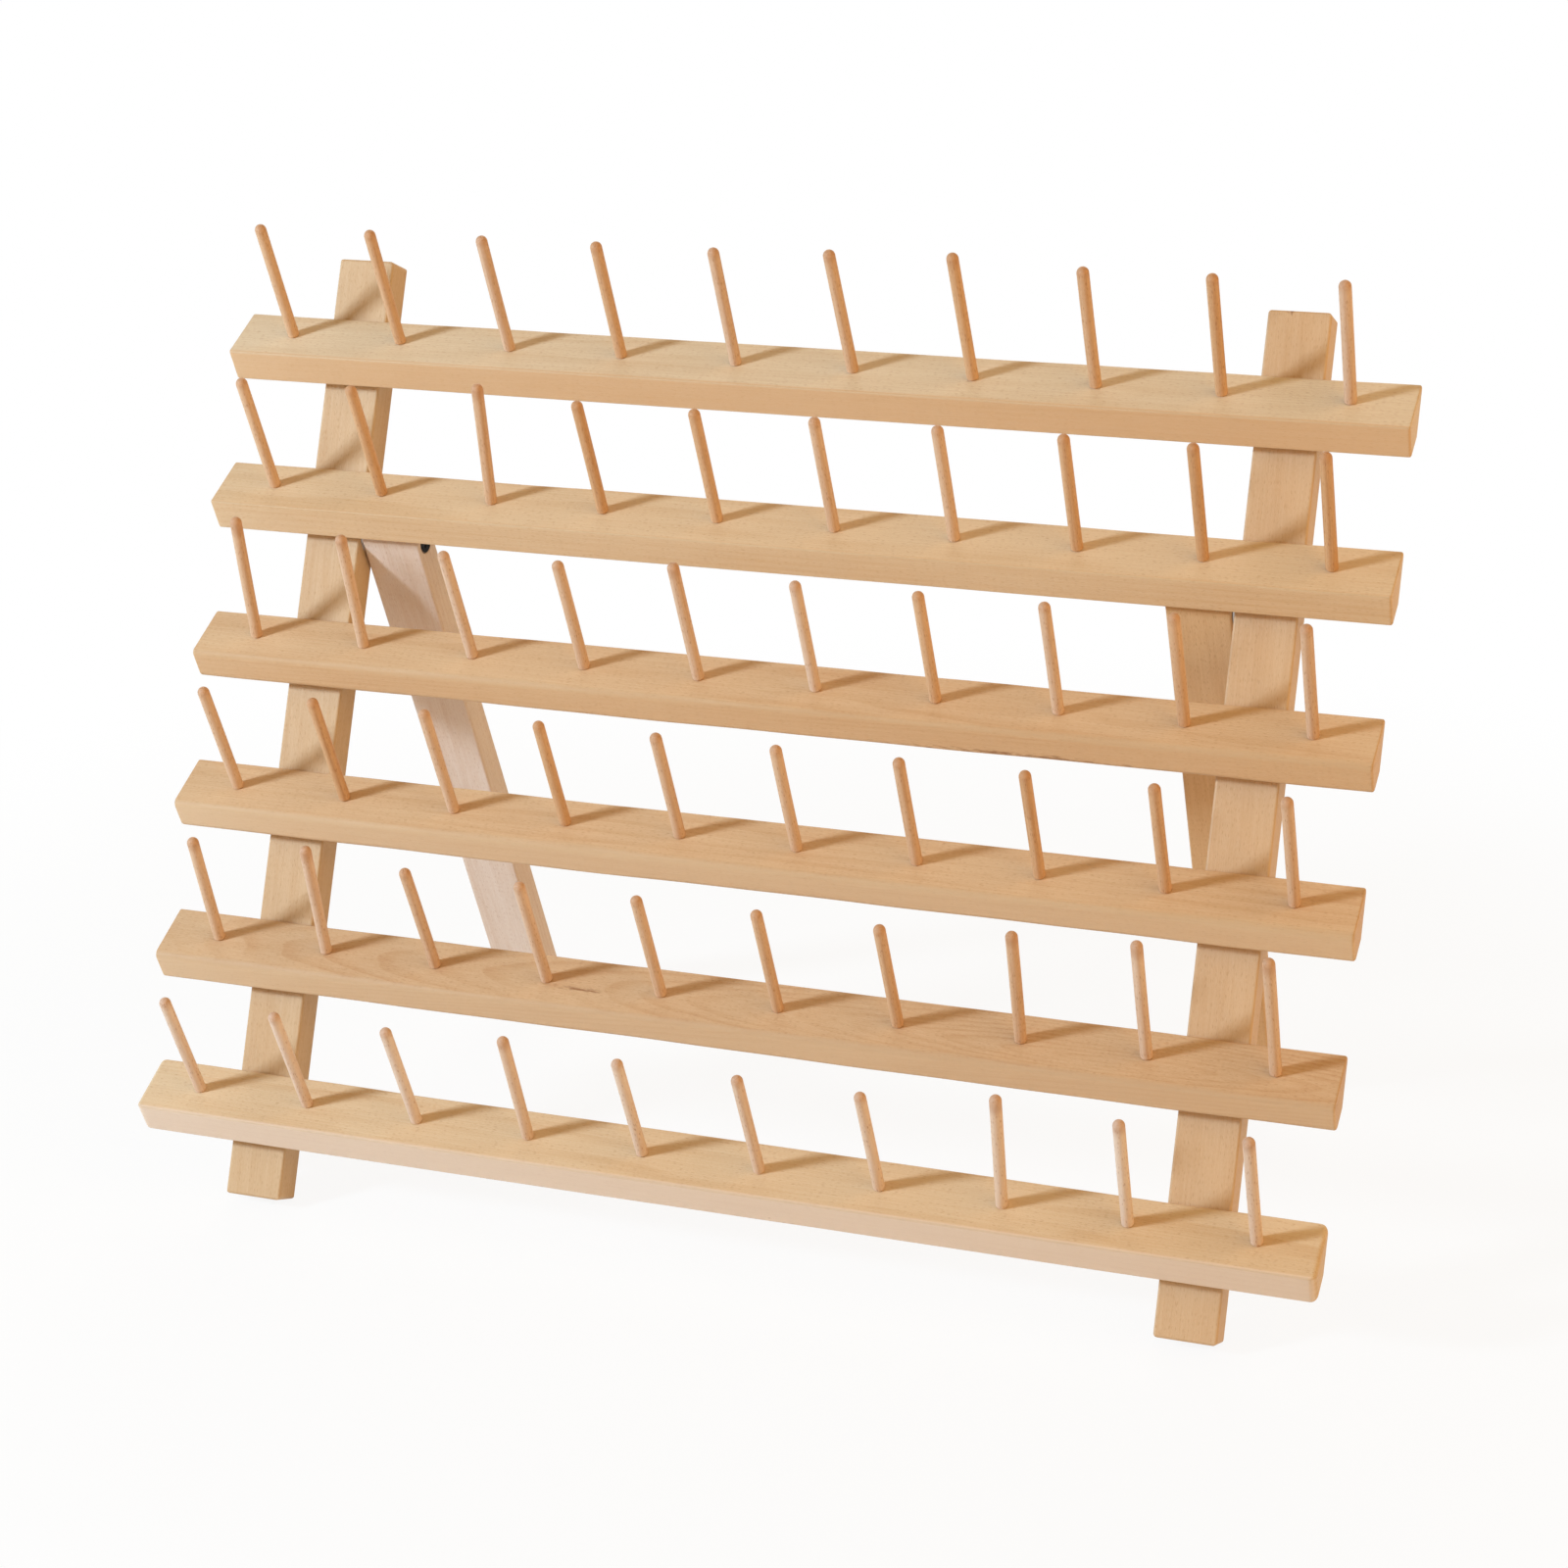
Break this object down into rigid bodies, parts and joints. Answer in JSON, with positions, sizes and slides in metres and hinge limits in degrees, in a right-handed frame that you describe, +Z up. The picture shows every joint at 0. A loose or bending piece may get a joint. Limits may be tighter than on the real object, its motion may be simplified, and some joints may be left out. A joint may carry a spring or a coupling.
{
  "type": "wall thread rack",
  "caption": "Folding wooden thread rack with rows of slanted pegs on sloping rails; it stands on swing-out legs, or hangs on a wall with the legs folded flat.",
  "frame": {"origin": "middle of the footprint, on the surface the rack stands on", "axes": "+X along the rails to the viewer's right, +Y to the back towards the legs, +Z up; the pegs lean forward and up towards -Y"},
  "size_m": [0.4, 0.2066, 0.3167],
  "materials": {
    "rail_wood": "plain sanded beech, unvarnished",
    "upright_wood": "plain sanded beech, unvarnished",
    "leg_wood": "plain sanded beech, unvarnished",
    "peg_wood": "turned beech dowel, redder than the rails",
    "black_screw": "black oxide",
    "zinc": "bright zinc plating"
  },
  "bodies": {
    "rack": {"left_upright": "upright_wood", "right_upright": "upright_wood", "rail_1": "rail_wood", "rail_2": "rail_wood", "rail_3": "rail_wood", "rail_4": "rail_wood", "rail_5": "rail_wood", "rail_6": "rail_wood", "pegs_row_1": "peg_wood", "pegs_row_2": "peg_wood", "pegs_row_3": "peg_wood", "pegs_row_4": "peg_wood", "pegs_row_5": "peg_wood", "pegs_row_6": "peg_wood", "left_pivot_screw": "black_screw", "right_pivot_screw": "black_screw", "left_pivot_washer": "zinc", "right_pivot_washer": "zinc", "left_rail_screws": "zinc", "right_rail_screws": "zinc", "left_hanger": "zinc", "right_hanger": "zinc", "left_hanger_screws": "zinc", "right_hanger_screws": "zinc"},
    "leg_left": {"left_leg": "leg_wood"},
    "leg_right": {"right_leg": "leg_wood"}
  },
  "joints": [
    {"name": "left_leg_fold", "type": "hinge", "parent": "rack", "child": "leg_left", "pos_m": [-0.1387, 0.00674, 0.2086], "axis": [-1, 0, 0], "range_deg": [0, 48]},
    {"name": "right_leg_fold", "type": "hinge", "parent": "rack", "child": "leg_right", "pos_m": [0.1387, 0.00674, 0.2086], "axis": [-1, 0, 0], "range_deg": [0, 48]}
  ]
}
